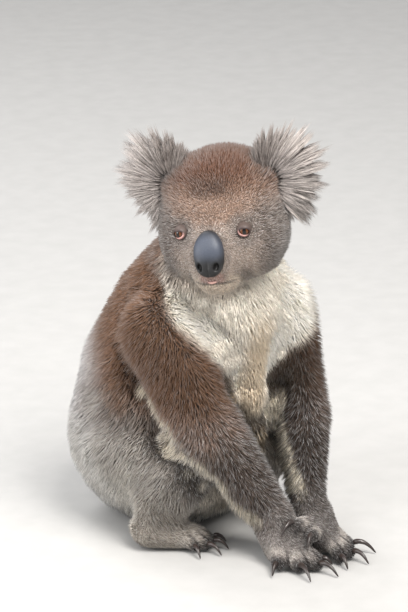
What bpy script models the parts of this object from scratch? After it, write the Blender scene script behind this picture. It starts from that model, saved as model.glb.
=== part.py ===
"""A koala sitting on the ground, life size, as closed solids: one for each named part of the body.

Metres, +Z up. The animal faces -Y, its left side is +X, and the floor is z = 0. Each solid is the
outer form of that part with its coat, so the outline runs out to the tips of the fur. The trunk and
each limb are first made whole, as ellipsoids joined by hulls and fused by a voxel remesh. They are
then parted at the joints by thin plane cuts, and fitted to one another with a small clearance.
"""

import math
from collections import namedtuple

import bmesh
import bpy
from mathutils import Matrix, Vector

# ---------------------------------------------------------------------------------------------
# Driving dimensions
# ---------------------------------------------------------------------------------------------

GAP = 0.0007  # clearance between solids that press on each other
CUT = 0.0005  # width of the thin cut that parts one solid from the next
BLOCK = 1.0  # side of the block that makes each plane cut
SOLID_DETAIL = 2  # subdivisions of an ellipsoid that is a solid by itself
LINK_DETAIL = 3  # and of one that a limb is fused from
WELD = 1e-5  # points nearer than this are one
TRIANGLES = {"trunk": 720, "head": 640, "ear": 130, "arm": 280, "leg": 280, "hand": 380, "foot": 230}
# The voxel that each kind of part is fused with, and the rounds of smoothing that follow.
FUSING = {"trunk": (0.006, 12), "limb": (0.005, 8), "paw": (0.0026, 3), "head": (0.004, 9), "ear": (0.004, 4)}

Ball = namedtuple("Ball", "centre radii")


def ball(x, y, z, *radii):
    """An ellipsoid: its centre, then one radius, or the three along X, Y and Z."""
    return Ball(Vector((x, y, z)), Vector(radii if len(radii) == 3 else radii * 3))


# The trunk, from the seat up to the nape. It leans forward over the hands.
RUMP = ball(0.000, 0.150, 0.100, 0.114, 0.120, 0.108)
LOIN = ball(0.000, 0.136, 0.186, 0.108, 0.110, 0.084)
CHEST = ball(-0.004, 0.106, 0.258, 0.100, 0.096, 0.078)
NAPE = ball(-0.018, 0.076, 0.326, 0.070, 0.066, 0.050)
BELLY = ball(0.000, 0.076, 0.120, 0.066, 0.060, 0.084)
BIB = ball(-0.002, 0.034, 0.262, 0.070, 0.048, 0.066)
MANE = ball(0.028, 0.042, 0.312, 0.046)
APRON = ball(-0.004, 0.030, 0.208, 0.044, 0.036, 0.050)
ABDOMEN_LEVEL = 0.112  # height of the cut between rump and abdomen
CHEST_LEVEL = 0.200  # height of the cut between abdomen and chest
NECK_LEVEL = 0.304  # height of the cut between chest and neck
LEAN = math.radians(14)  # slope of those cuts across the leaning trunk

# Each arm: shoulder, elbow, wrist, palm, then the tip of each digit and the length of its claw,
# thumb side first.
# The left hand is set down beside the right one, with its two thumbs over the right wrist.
Arm = namedtuple("Arm", "shoulder elbow wrist palm digits claws")
DIGIT_RADIUS = 0.0105
ARMS = {
    "right": Arm(
        ball(-0.088, 0.080, 0.258, 0.048, 0.060, 0.060),
        ball(-0.074, 0.028, 0.150, 0.046, 0.050, 0.050),
        ball(-0.028, -0.028, 0.052, 0.028),
        ball(-0.037, -0.053, 0.018, 0.026, 0.025, 0.020),
        (
            Vector((-0.017, -0.078, 0.009)),
            Vector((-0.021, -0.092, 0.009)),
            Vector((-0.034, -0.098, 0.009)),
            Vector((-0.051, -0.085, 0.009)),
            Vector((-0.062, -0.064, 0.009)),
        ),
        (0.010, 0.014, 0.032, 0.034, 0.020),
    ),
    "left": Arm(
        ball(0.062, 0.036, 0.264, 0.042, 0.048, 0.058),
        ball(0.063, 0.000, 0.145, 0.034, 0.038, 0.044),
        ball(0.027, -0.037, 0.054, 0.025),
        ball(0.020, -0.062, 0.019, 0.026, 0.025, 0.021),
        (
            Vector((-0.028, -0.062, 0.048)),
            Vector((-0.022, -0.082, 0.036)),
            Vector((0.001, -0.103, 0.009)),
            Vector((0.020, -0.104, 0.009)),
            Vector((0.037, -0.090, 0.010)),
        ),
        (0.024, 0.020, 0.022, 0.028, 0.032),
    ),
}

# A digit rises to a knuckle this share of the way along, with its height and size in digit radii.
KNUCKLE_SHARE, KNUCKLE_RISE, KNUCKLE_SIZE = 0.62, 0.55, 1.12
# A claw is set in the digit's tip, forward, up and as thick as these shares of the digit's radius.
CLAW_SET_FORWARD, CLAW_SET_UP, CLAW_THICKNESS = 0.35, 0.30, 0.40
# Its reach, arch and greatest drop are shares of its length. Its point stays clear of the floor.
CLAW_REACH, CLAW_ARCH, CLAW_DROP, CLAW_CLEARANCE = 0.82, 0.45, 0.45, 0.002
CLAW_TAPER = 0.86  # the share of its thickness that it loses by the point
CLAW_STEPS = 4

# Each leg: hip, knee, heel, ball of the foot and the tip of each toe, inner toe first. The first
# toe has no claw. The soles are flat on the floor.
Leg = namedtuple("Leg", "hip knee calf heel sole toes")
TOE_RADIUS = 0.0092
TOE_CLAWS = (0, 0.018, 0.022, 0.024, 0.022)
ANKLE_SHARE = 0.8  # the shank ends inside the heel of the foot, and is this share of its size


def leg(sign):
    return Leg(
        ball(sign * 0.064, 0.142, 0.108, 0.058, 0.072, 0.066),
        ball(sign * 0.076, 0.058, 0.100, 0.044, 0.046, 0.050),
        ball(sign * 0.084, 0.086, 0.062, 0.038, 0.042, 0.040),
        ball(sign * 0.096, 0.094, 0.025, 0.026, 0.028, 0.027),
        ball(sign * 0.070, 0.064, 0.015, 0.024, 0.023, 0.017),
        tuple(
            Vector((sign * across, along, 0.0085))
            for across, along in (
                (0.046, 0.066),
                (0.046, 0.046),
                (0.056, 0.038),
                (0.068, 0.036),
                (0.080, 0.044),
            )
        ),
    )


LEGS = {"right": leg(-1), "left": leg(1)}

# The head has a frame of its own: the centre between the cheekbones, the face to -Y.
HEAD_YAW, HEAD_PITCH, HEAD_ROLL = math.radians(-65), math.radians(2), math.radians(-7)
HEAD_FRAME = (
    Matrix.Translation((-0.036, 0.034, 0.389))
    @ Matrix.Rotation(HEAD_YAW, 4, "Z")
    @ Matrix.Rotation(HEAD_PITCH, 4, "X")
    @ Matrix.Rotation(HEAD_ROLL, 4, "Y")
)
CRANIUM = ball(0, 0.012, 0.022, 0.070, 0.068, 0.060)
TEMPLE = ball(0.036, 0.010, 0.032, 0.034, 0.044, 0.038)
CHEEK = ball(0.038, -0.010, -0.017, 0.037, 0.048, 0.044)
FACE = ball(0, -0.030, -0.014, 0.050, 0.038, 0.044)
MUZZLE = ball(0, -0.058, -0.028, 0.028, 0.026, 0.030)
CHIN = ball(0, -0.052, -0.054, 0.024, 0.026, 0.016)
JOWL = ball(0, -0.038, -0.046, 0.030, 0.028, 0.020)
MUZZLE_CUT = (Vector((0, -0.0665, 0)), Vector((0, -0.75, -0.66)))  # a point and the way forward
MOUTH_LEVEL = -0.049
NOSE = ball(0, -0.080, -0.0155, 0.0172, 0.013, 0.0258)
NOSE_LEAN = math.radians(-10)
EYE = ball(0.0365, -0.0550, 0.003, 0.0085)
# Each ear is a fan of coat round a shallow cup: its root, top, outer edge and lowest lock.
EAR_ROOT = ball(0.060, 0.012, 0.042, 0.018, 0.014, 0.030)
EAR_TOP = ball(0.092, 0.006, 0.083, 0.023, 0.015, 0.024)
EAR_EDGE = ball(0.098, 0.004, 0.052, 0.026, 0.015, 0.034)
EAR_LOCK = ball(0.088, 0.000, 0.012, 0.016, 0.011, 0.020)

# Colour and roughness of each material.
MATERIALS = {
    "coat_grey": ((0.27, 0.24, 0.22), 0.95),
    "coat_brown": ((0.20, 0.14, 0.11), 0.95),
    "coat_white": ((0.80, 0.76, 0.68), 0.95),
    "nose_leather": ((0.035, 0.038, 0.045), 0.55),
    "eye_gloss": ((0.10, 0.045, 0.02), 0.08),
    "claw_horn": ((0.035, 0.028, 0.025), 0.30),
}


# ---------------------------------------------------------------------------------------------
# Modelling tools
# ---------------------------------------------------------------------------------------------


def clear_scene():
    for old in list(bpy.data.objects):
        bpy.data.objects.remove(old)


def new_collection(name):
    made = bpy.data.collections.new(name)
    bpy.context.scene.collection.children.link(made)
    return made


def object_from(bm, name, group):
    mesh = bpy.data.meshes.new(name)
    bm.to_mesh(mesh)
    bm.free()
    made = bpy.data.objects.new(name, mesh)
    group.objects.link(made)
    return made


def apply_modifiers(obj):
    """Makes the object's modifiers part of its mesh."""
    graph = bpy.context.evaluated_depsgraph_get()
    shaped = bpy.data.meshes.new_from_object(obj.evaluated_get(graph), depsgraph=graph)
    obj.modifiers.clear()
    obj.data = shaped


def add_ball(bm, one, frame, detail=LINK_DETAIL):
    place = frame @ Matrix.Translation(one.centre) @ Matrix.Diagonal((*one.radii, 1))
    bmesh.ops.create_icosphere(bm, subdivisions=detail, radius=1, matrix=place)


def add_link(bm, first, second, frame):
    """The convex hull of two ellipsoids, like the flesh round a bone."""
    part = bmesh.new()
    add_ball(part, first, frame)
    add_ball(part, second, frame)
    hull = bmesh.ops.convex_hull(part, input=part.verts)
    inside = [item for item in hull["geom_interior"] if isinstance(item, bmesh.types.BMVert)]
    bmesh.ops.delete(part, geom=inside, context="VERTS")
    mesh = bpy.data.meshes.new("link")
    part.to_mesh(mesh)
    part.free()
    bm.from_mesh(mesh)
    bpy.data.meshes.remove(mesh)


def fused(name, links, group, voxel, smooth, triangles, frame=Matrix.Identity(4)):
    """One closed surface round all the links, blended where they meet."""
    bm = bmesh.new()
    for first, second in links:
        add_link(bm, first, second, frame)
    obj = object_from(bm, name, group)
    remesh = obj.modifiers.new("fuse", "REMESH")
    remesh.mode = "VOXEL"
    remesh.voxel_size = voxel
    blend = obj.modifiers.new("blend", "SMOOTH")
    blend.factor = 0.5
    blend.iterations = smooth
    apply_modifiers(obj)
    thin = obj.modifiers.new("thin", "DECIMATE")
    thin.ratio = min(1.0, triangles / (2 * len(obj.data.polygons)))
    apply_modifiers(obj)
    return obj


def chain(*balls):
    """The links of a row of ellipsoids, each joined to the next."""
    return list(zip(balls, balls[1:]))


def loose_bodies(bm):
    left = set(bm.verts)
    bodies = []
    while left:
        front = [left.pop()]
        body = set(front)
        while front:
            vert = front.pop()
            near = {edge.other_vert(vert) for edge in vert.link_edges} & left
            left -= near
            body |= near
            front.extend(near)
        bodies.append(body)
    return sorted(bodies, key=len)


def keep_largest(obj):
    """Drops the crumbs that a cut can leave beside the main body."""
    bm = bmesh.new()
    bm.from_mesh(obj.data)
    for body in loose_bodies(bm)[:-1]:
        bmesh.ops.delete(bm, geom=list(body), context="VERTS")
    bm.to_mesh(obj.data)
    bm.free()


def subtract(obj, cutter):
    difference = obj.modifiers.new("cut", "BOOLEAN")
    difference.operation = "DIFFERENCE"
    difference.solver = "EXACT"
    difference.object = cutter
    apply_modifiers(obj)


def cut_plane(obj, point, normal, cutters):
    """Cuts away what lies beyond a plane, on the side that its normal points to."""
    bm = bmesh.new()
    turn = normal.to_track_quat("Z", "Y").to_matrix().to_4x4()
    place = Matrix.Translation(point) @ turn @ Matrix.Translation((0, 0, BLOCK / 2))
    bmesh.ops.create_cube(bm, size=BLOCK, matrix=place)
    block = object_from(bm, "block", cutters)
    subtract(obj, block)
    bpy.data.objects.remove(block)
    keep_largest(obj)


def copy_of(obj, name, group):
    made = obj.copy()
    made.data = obj.data.copy()
    made.name = name
    group.objects.link(made)
    return made


def parted(whole, names, planes, group, cutters):
    """Parts a whole at each (point, normal) plane, with the normals along it from the first name."""
    pieces = []
    for i, name in enumerate(names):
        piece = copy_of(whole, name, group)
        if i > 0:
            point, normal = planes[i - 1]
            cut_plane(piece, point + normal * CUT / 2, -normal, cutters)
        if i < len(planes):
            point, normal = planes[i]
            cut_plane(piece, point - normal * CUT / 2, normal, cutters)
        pieces.append(piece)
    bpy.data.objects.remove(whole)
    return pieces


def mould_of(obj, cutters):
    """A cutter that is the object grown by the gap. Its neighbours are hollowed with it."""
    grown = copy_of(obj, f"mould_{obj.name}", cutters)
    grown.display_type = "WIRE"
    swell = grown.modifiers.new("gap", "DISPLACE")
    swell.strength = GAP
    swell.mid_level = 0
    apply_modifiers(grown)
    return grown


def fit(obj, moulds):
    """Hollows an object to clear each neighbour that presses into it."""
    for mould in moulds:
        subtract(obj, mould)
    keep_largest(obj)


def mitre(before, joint, after):
    """The plane that halves the bend at a joint."""
    along = (joint - before).normalized() + (after - joint).normalized()
    return joint, along.normalized()


def mirrored(one, sign):
    return Ball(Vector((sign * one.centre.x, one.centre.y, one.centre.z)), one.radii)


def material(name, colour, roughness):
    made = bpy.data.materials.new(name)
    made.use_nodes = True
    shader = made.node_tree.nodes["Principled BSDF"]
    shader.inputs["Base Color"].default_value = (*colour, 1)
    shader.inputs["Roughness"].default_value = roughness
    shader.inputs["Metallic"].default_value = 0.0
    return made


# ---------------------------------------------------------------------------------------------
# Parts of the body
# ---------------------------------------------------------------------------------------------


Limb = namedtuple("Limb", "solids mould paw_mould claw_moulds")


def make_claw(name, root, along, length, radius, group):
    """A tapered horn that leaves the digit along its back and curves down to a point."""
    flat = Vector((along.x, along.y, 0)).normalized()
    drop = max(-CLAW_DROP * length, CLAW_CLEARANCE - root.z)
    curve = bpy.data.curves.new(name, "CURVE")
    curve.dimensions = "3D"
    curve.bevel_depth = radius
    curve.bevel_resolution = 0
    curve.use_fill_caps = True
    spline = curve.splines.new("POLY")
    spline.points.add(CLAW_STEPS)
    for i, point in enumerate(spline.points):
        share = i / CLAW_STEPS
        rise = CLAW_ARCH * length * share * (1 - share) + drop * share * share
        point.co = (*(root + flat * CLAW_REACH * length * share + Vector((0, 0, rise))), 1)
        point.radius = 1 - CLAW_TAPER * share ** 1.5
    guide = bpy.data.objects.new(name, curve)
    group.objects.link(guide)
    graph = bpy.context.evaluated_depsgraph_get()
    mesh = bpy.data.meshes.new_from_object(guide.evaluated_get(graph), depsgraph=graph)
    bpy.data.objects.remove(guide)
    bm = bmesh.new()
    bm.from_mesh(mesh)
    bmesh.ops.remove_doubles(bm, verts=bm.verts, dist=WELD)
    bmesh.ops.recalc_face_normals(bm, faces=bm.faces)
    return object_from(bm, name, group)


def make_paw(name, joint, pad, tips, radius, group, triangles):
    """A hand or foot: the joint, the pad and a digit out to each tip, with a knuckle on the way."""
    links = chain(joint, pad)
    for tip in tips:
        knuckle = pad.centre.lerp(tip, KNUCKLE_SHARE) + Vector((0, 0, radius * KNUCKLE_RISE))
        knuckle_ball = Ball(knuckle, Vector((radius * KNUCKLE_SIZE,) * 3))
        tip_ball = Ball(tip, Vector((radius,) * 3))
        links += chain(pad, knuckle_ball, tip_ball)
    return fused(name, links, group, *FUSING["paw"], triangles)


def make_claws(kind, side, pad, tips, lengths, radius, group):
    """One claw at each tip that bears one, set in the front of the digit."""
    claws = []
    for i, (tip, length) in enumerate(zip(tips, lengths)):
        if not length:
            continue
        along = tip - pad.centre
        flat = Vector((along.x, along.y, 0)).normalized()
        root = tip + flat * radius * CLAW_SET_FORWARD + Vector((0, 0, radius * CLAW_SET_UP))
        name = f"{kind}_{side}_{i + 1}"
        claws.append(make_claw(name, root, along, length, radius * CLAW_THICKNESS, group))
    return claws


def make_trunk(group, cutters):
    links = chain(RUMP, LOIN, CHEST, NAPE) + chain(RUMP, BELLY, APRON, BIB, CHEST, MANE, BIB)
    whole = fused("trunk", links, group, *FUSING["trunk"], TRIANGLES["trunk"])
    up = Vector((0, -math.sin(LEAN), math.cos(LEAN)))
    planes = [(Vector((0, 0.1, level)), up) for level in (ABDOMEN_LEVEL, CHEST_LEVEL, NECK_LEVEL)]
    return parted(whole, ("rump", "abdomen", "chest", "neck"), planes, group, cutters)


def make_arm(side, group, cutters):
    """The solids from shoulder to hand, the claws, and the moulds of the arm and of the hand."""
    arm = ARMS[side]
    links = chain(arm.shoulder, arm.elbow, arm.wrist)
    whole = fused("arm", links, group, *FUSING["limb"], TRIANGLES["arm"])
    arm_mould = mould_of(whole, cutters)
    elbow = mitre(arm.shoulder.centre, arm.elbow.centre, arm.wrist.centre)
    wrist = (arm.wrist.centre, (arm.palm.centre - arm.elbow.centre).normalized())
    names = (f"upper_arm_{side}", f"forearm_{side}", "spare")
    upper, fore, spare = parted(whole, names, (elbow, wrist), group, cutters)
    bpy.data.objects.remove(spare)
    hand = make_paw(f"hand_{side}", arm.wrist, arm.palm, arm.digits, DIGIT_RADIUS, group, TRIANGLES["hand"])
    hand_mould = mould_of(hand, cutters)
    point, normal = wrist
    cut_plane(hand, point + normal * CUT / 2, -normal, cutters)
    claws = make_claws("claw", side, arm.palm, arm.digits, arm.claws, DIGIT_RADIUS, group)
    claw_moulds = [mould_of(claw, cutters) for claw in claws]
    fit(hand, claw_moulds)
    return Limb([upper, fore, hand], arm_mould, hand_mould, claw_moulds)


def make_leg(side, group, cutters):
    """The solids from hip to foot, the claws, and the moulds of the leg and of the foot."""
    one = LEGS[side]
    ankle = Ball(one.heel.centre, one.heel.radii * ANKLE_SHARE)
    links = chain(one.hip, one.knee, one.calf, ankle)
    whole = fused("leg", links, group, *FUSING["limb"], TRIANGLES["leg"])
    leg_mould = mould_of(whole, cutters)
    knee = mitre(one.hip.centre, one.knee.centre, one.heel.centre)
    names = (f"thigh_{side}", f"shank_{side}")
    thigh, shank = parted(whole, names, [knee], group, cutters)
    foot = make_paw(f"foot_{side}", one.heel, one.sole, one.toes, TOE_RADIUS, group, TRIANGLES["foot"])
    foot_mould = mould_of(foot, cutters)
    fit(shank, [foot_mould])
    claws = make_claws("toe_claw", side, one.sole, one.toes, TOE_CLAWS, TOE_RADIUS, group)
    claw_moulds = [mould_of(claw, cutters) for claw in claws]
    fit(foot, claw_moulds)
    return Limb([thigh, shank, foot], leg_mould, foot_mould, claw_moulds)


def make_head(group, cutters):
    cheeks = [mirrored(CHEEK, sign) for sign in (-1, 1)]
    links = [(CRANIUM, FACE), (FACE, MUZZLE), (MUZZLE, CHIN), (FACE, CHIN)]
    for cheek in cheeks:
        links += [(CRANIUM, cheek), (FACE, cheek), (cheek, JOWL)]
    links += [(CRANIUM, mirrored(TEMPLE, sign)) for sign in (-1, 1)]
    whole = fused("whole_head", links, group, *FUSING["head"], TRIANGLES["head"], HEAD_FRAME)
    lean = HEAD_FRAME @ Matrix.Translation(NOSE.centre) @ Matrix.Rotation(NOSE_LEAN, 4, "X")
    bm = bmesh.new()
    add_ball(bm, Ball(Vector(), NOSE.radii), lean, SOLID_DETAIL)
    set_in = [object_from(bm, "nose_pad", group)]
    ears = []
    for side, sign in (("right", -1), ("left", 1)):
        bm = bmesh.new()
        add_ball(bm, mirrored(EYE, sign), HEAD_FRAME, SOLID_DETAIL)
        set_in.append(object_from(bm, f"eye_{side}", group))
        root, top, edge, lock = (mirrored(b, sign) for b in (EAR_ROOT, EAR_TOP, EAR_EDGE, EAR_LOCK))
        fan = [(root, top), (top, edge), (edge, lock), (root, edge), (root, lock)]
        ears.append(fused(f"ear_{side}", fan, group, *FUSING["ear"], TRIANGLES["ear"], HEAD_FRAME))
    fit(whole, [mould_of(obj, cutters) for obj in set_in])
    head_mould = mould_of(whole, cutters)
    turn = HEAD_FRAME.to_3x3()
    front = (HEAD_FRAME @ MUZZLE_CUT[0], (turn @ MUZZLE_CUT[1]).normalized())
    head, snout = parted(whole, ("head", "snout"), [front], group, cutters)
    mouth = (HEAD_FRAME @ Vector((0, 0, MOUTH_LEVEL)), turn @ Vector((0, 0, 1)))
    parted(snout, ("lower_jaw", "muzzle"), [mouth], group, cutters)
    for ear in ears:
        fit(ear, [head_mould])
    return [head_mould] + [mould_of(ear, cutters) for ear in ears]


def recentre(objects):
    """Puts the origin under the middle of the object's box, on the floor."""
    corners = [vert.co for obj in objects for vert in obj.data.vertices]
    low = [min(co[axis] for co in corners) for axis in (0, 1)]
    high = [max(co[axis] for co in corners) for axis in (0, 1)]
    shift = Matrix.Translation((-(low[0] + high[0]) / 2, -(low[1] + high[1]) / 2, 0))
    for obj in objects:
        obj.data.transform(shift)


def coat_of(name):
    """The material of each part, from the kind of part that its name begins with."""
    if name.startswith(("claw", "toe_claw")):
        return "claw_horn"
    if name.startswith("eye"):
        return "eye_gloss"
    if name == "nose_pad":
        return "nose_leather"
    if name in ("lower_jaw", "neck"):
        return "coat_white"
    if name in ("chest", "head"):
        return "coat_brown"
    return "coat_grey"


def paint(objects):
    made = {name: material(name, *looks) for name, looks in MATERIALS.items()}
    for obj in objects:
        obj.data.materials.clear()
        obj.data.materials.append(made[coat_of(obj.name)])


def main():
    clear_scene()
    koala = new_collection("koala")
    cutters = new_collection("cutters")
    cutters.hide_render = True
    trunk = make_trunk(koala, cutters)
    head_moulds = make_head(koala, cutters)
    arms = {side: make_arm(side, koala, cutters) for side in ARMS}
    legs = {side: make_leg(side, koala, cutters) for side in LEGS}
    floor = (Vector((0, 0, 0)), Vector((0, 0, -1)))
    limbs = list(arms.values()) + list(legs.values())
    for obj in [trunk[0]] + [limb.solids[-1] for limb in limbs]:
        cut_plane(obj, *floor, cutters)
    upper_hand = arms["left"]
    for obj in arms["right"].solids[1:]:
        fit(obj, [upper_hand.paw_mould] + upper_hand.claw_moulds)
    for side, one in legs.items():
        for obj in one.solids:
            fit(obj, [arms[side].mould])
    for obj in trunk:
        fit(obj, [limb.mould for limb in limbs] + [limb.paw_mould for limb in limbs] + head_moulds)
    for obj in list(cutters.objects):
        bpy.data.objects.remove(obj)
    paint(koala.objects)
    recentre(list(koala.objects))


main()
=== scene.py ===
"""The looks of the sitting koala: one skin under a coat of solid tufts, eyes, nose and claws."""

import math

import bmesh
import bpy
import numpy as np
from mathutils import Matrix, Vector
from mathutils.kdtree import KDTree


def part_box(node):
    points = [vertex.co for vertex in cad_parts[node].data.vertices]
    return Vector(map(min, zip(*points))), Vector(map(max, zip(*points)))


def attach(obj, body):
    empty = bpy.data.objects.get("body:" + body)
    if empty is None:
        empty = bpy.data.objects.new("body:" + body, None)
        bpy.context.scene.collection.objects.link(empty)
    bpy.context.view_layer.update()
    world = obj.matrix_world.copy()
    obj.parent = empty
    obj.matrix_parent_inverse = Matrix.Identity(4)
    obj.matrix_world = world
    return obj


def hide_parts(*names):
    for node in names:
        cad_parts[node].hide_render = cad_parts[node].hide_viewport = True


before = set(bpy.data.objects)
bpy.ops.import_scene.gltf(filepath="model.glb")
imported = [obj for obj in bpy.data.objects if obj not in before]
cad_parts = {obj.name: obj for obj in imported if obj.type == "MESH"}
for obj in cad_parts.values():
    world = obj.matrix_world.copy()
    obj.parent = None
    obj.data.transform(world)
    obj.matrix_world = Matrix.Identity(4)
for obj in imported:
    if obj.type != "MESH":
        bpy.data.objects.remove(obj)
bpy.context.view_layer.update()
rng = np.random.default_rng(11)

SIDES = {"right": -1, "left": 1}
TRUNK = ["rump", "abdomen", "chest", "neck", "head", "muzzle", "lower_jaw"]
ARMS = {side: [f"upper_arm_{side}", f"forearm_{side}", f"hand_{side}"] for side in SIDES}
LEGS = {side: [f"thigh_{side}", f"shank_{side}", f"foot_{side}"] for side in SIDES}
LIMBS = [*ARMS.values(), *LEGS.values()]
EARS = [f"ear_{side}" for side in SIDES]
FLESH = TRUNK + [name for limb in LIMBS for name in limb] + EARS
VOXEL = 0.0024  # grain of the skin's mesh, in metres
HAIR_FLOOR = 0.0006  # the lowest that skin or hair comes to the ground


def centre(name):
    low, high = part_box(name)
    return np.array((low + high) / 2)


def unit(v):
    return v / np.maximum(np.linalg.norm(v, axis=-1, keepdims=True), 1e-9)


def step(low, high, x):
    """0 below low, 1 above high, and smooth between. Low may be the greater."""
    t = np.clip((x - low) / (high - low), 0, 1)
    return t * t * (3 - 2 * t)


# ---- The head's own frame, from the eyes and nose: left is +X, the face -Y, the crown +Z ----

EYES = {side: centre(f"eye_{side}") for side in SIDES}
NOSE = centre("nose_pad")
NOSE_DROP = math.atan2(0.0185, 0.025)  # slope from between the eyes down to the nose
BETWEEN_EYES = np.array([0, -0.055, 0.003])  # in the head's frame
head_x = unit(EYES["left"] - EYES["right"])
bridge = NOSE - (EYES["left"] + EYES["right"]) / 2
bridge = unit(bridge - head_x * (bridge @ head_x))
across = np.cross(head_x, bridge)
head_z = -(across * math.cos(NOSE_DROP) + bridge * math.sin(NOSE_DROP))
head_y = across * math.sin(NOSE_DROP) - bridge * math.cos(NOSE_DROP)
HEAD_AXES = np.stack([head_x, head_y, head_z])
HEAD_CENTRE = (EYES["left"] + EYES["right"]) / 2 - BETWEEN_EYES @ HEAD_AXES


def in_head(points):
    return (points - HEAD_CENTRE) @ HEAD_AXES.T


def from_head(points):
    return np.asarray(points) @ HEAD_AXES + HEAD_CENTRE


def turn_from_head(vectors):
    return np.asarray(vectors) @ HEAD_AXES


# ---- Mesh tools ----


def mesh_from(verts, faces, name):
    """A mesh from an array of points and one of faces, all with as many corners."""
    mesh = bpy.data.meshes.new(name)
    size = faces.shape[1]
    mesh.vertices.add(len(verts))
    mesh.vertices.foreach_set("co", np.ascontiguousarray(verts, np.float32).ravel())
    mesh.loops.add(faces.size)
    mesh.loops.foreach_set("vertex_index", np.ascontiguousarray(faces, np.int32).ravel())
    mesh.polygons.add(len(faces))
    mesh.polygons.foreach_set("loop_start", np.arange(len(faces), dtype=np.int32) * size)
    mesh.polygons.foreach_set("use_smooth", np.ones(len(faces), bool))
    mesh.update(calc_edges=True)
    return mesh


def add_object(name, mesh):
    made = bpy.data.objects.new(name, mesh)
    bpy.context.scene.collection.objects.link(made)
    return made


def as_mesh(bm, name):
    mesh = bpy.data.meshes.new(name)
    bm.to_mesh(mesh)
    bm.free()
    return mesh


def evaluated(obj):
    """The object's mesh with its modifiers applied."""
    graph = bpy.context.evaluated_depsgraph_get()
    return bpy.data.meshes.new_from_object(obj.evaluated_get(graph), depsgraph=graph)


def unit_ball(name, segments, rings):
    bm = bmesh.new()
    bmesh.ops.create_uvsphere(bm, u_segments=segments, v_segments=rings, radius=1)
    mesh = as_mesh(bm, name)
    mesh.shade_smooth()
    return mesh


def ring_mesh(rings, closed, name):
    """Rings of points, each joined to the next, and the last to the first. Open ones are arcs."""
    count, size = len(rings), len(rings[0])
    k, j = np.meshgrid(np.arange(count), np.arange(size if closed else size - 1), indexing="ij")
    next_k, next_j = (k + 1) % count, (j + 1) % size
    corners = [k * size + j, k * size + next_j, next_k * size + next_j, next_k * size + j]
    mesh = mesh_from(np.concatenate(rings), np.stack(corners, axis=-1).reshape(-1, 4), name)
    bm = bmesh.new()
    bm.from_mesh(mesh)
    bmesh.ops.holes_fill(bm, edges=[e for e in bm.edges if e.is_boundary])
    bmesh.ops.recalc_face_normals(bm, faces=bm.faces)
    bm.to_mesh(mesh)
    bm.free()
    mesh.shade_smooth()
    return mesh


def array_of(items, key, width, kind=np.float32):
    """What foreach_get gives for a mesh's items, one row for each."""
    out = np.empty(len(items) * width, kind)
    items.foreach_get(key, out)
    return out.reshape(-1, width)


def points_of(mesh):
    return array_of(mesh.vertices, "co", 3).astype(float)


def set_points(mesh, points):
    mesh.vertices.foreach_set("co", np.ascontiguousarray(points, np.float32).ravel())
    mesh.update()


def normals_of(mesh):
    return array_of(mesh.vertices, "normal", 3).astype(float)


def welded(names):
    """One bmesh of copies of CAD nodes, with the vertices that shading had split joined again."""
    bm = bmesh.new()
    for name in names:
        bm.from_mesh(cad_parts[name].data)
    bmesh.ops.remove_doubles(bm, verts=bm.verts, dist=1e-5)
    bm.normal_update()
    return bm


def remeshed(bm):
    obj = add_object("part", as_mesh(bm, "part"))
    remesh = obj.modifiers.new("voxel", "REMESH")
    remesh.mode = "VOXEL"
    remesh.voxel_size = VOXEL
    made = evaluated(obj)
    bpy.data.objects.remove(obj)
    return made


def edges_of(mesh):
    return array_of(mesh.edges, "vertices", 2, np.int32)


def smoothed(points, edges, rounds, share=0.5):
    """Moves each point part of the way to the mean of its neighbours."""
    a, b = edges.T
    count = np.bincount(edges.ravel(), minlength=len(points))[:, None]
    share = np.asarray(share).reshape(-1, 1)
    n = len(points)
    for _ in range(rounds):
        sums = [np.bincount(a, p[b], n) + np.bincount(b, p[a], n) for p in points.T]
        points = points + share * (np.stack(sums, axis=1) / np.maximum(count, 1) - points)
    return points


def lattice(scale, seed):
    """A smooth random field over space, made of a few turned sine waves."""
    field = np.random.default_rng(seed)
    waves = unit(field.normal(size=(7, 3))) * field.uniform(0.7, 1.6, (7, 1)) * scale
    shifts = field.uniform(0, 6.283, 7)
    return lambda p: np.sin(p @ waves.T + shifts).sum(1) / 3.2


def object_colours(mesh, colours):
    layer = mesh.color_attributes.new("tint", "FLOAT_COLOR", "POINT")
    rgba = np.ones((len(colours), 4), np.float32)
    rgba[:, :3] = colours
    layer.data.foreach_set("color", rgba.ravel())


# ---- The skin: the flesh nodes made one, lying inside them by the depth of the coat ----

SWELL = 0.0012  # closes the thin cuts between the nodes of one limb
CREASE_DEPTH = 0.0065  # how much deeper the skin lies along a crease
CREASE = 0.0022  # opens a crease where a limb presses on its neighbour
SKIN_ROUNDS, SHOULDER_ROUNDS = 10, 90  # of smoothing: all over, then across the shoulders
INSET_STEPS = 4  # in which the skin sinks by the depth of the coat
SAMPLES = 420  # taken from each node's surface, to tell what lies near it
BLEND = 0.006  # distance over which one region passes into the next


def limb_mesh(names, loose):
    """One closed limb. Loose gives, for each point, how far it stands clear of its neighbours."""
    bm = welded(names)
    for vert in bm.verts:
        vert.co += vert.normal * SWELL
    mesh = remeshed(bm)
    points = points_of(mesh)
    clear = loose(points)[:, None]
    set_points(mesh, points - normals_of(mesh) * (SWELL * 0.5 + CREASE * clear))
    return mesh


def loose_arm(side):
    top = centre(f"upper_arm_{side}")[2]
    return lambda p: step(top + 0.025, top - 0.02, p[:, 2])


def loose_leg(side):
    hip = centre(f"thigh_{side}") + np.array([0, 0.02, 0])
    return lambda p: step(0.045, 0.085, np.linalg.norm(p - hip, axis=1))


PINNA = np.array([0.027, 0.007, 0.031])  # half the size of the ear's cup
PINNA_BEND = 7.0  # how far the cup's rim bends forward, over its distance squared


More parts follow.
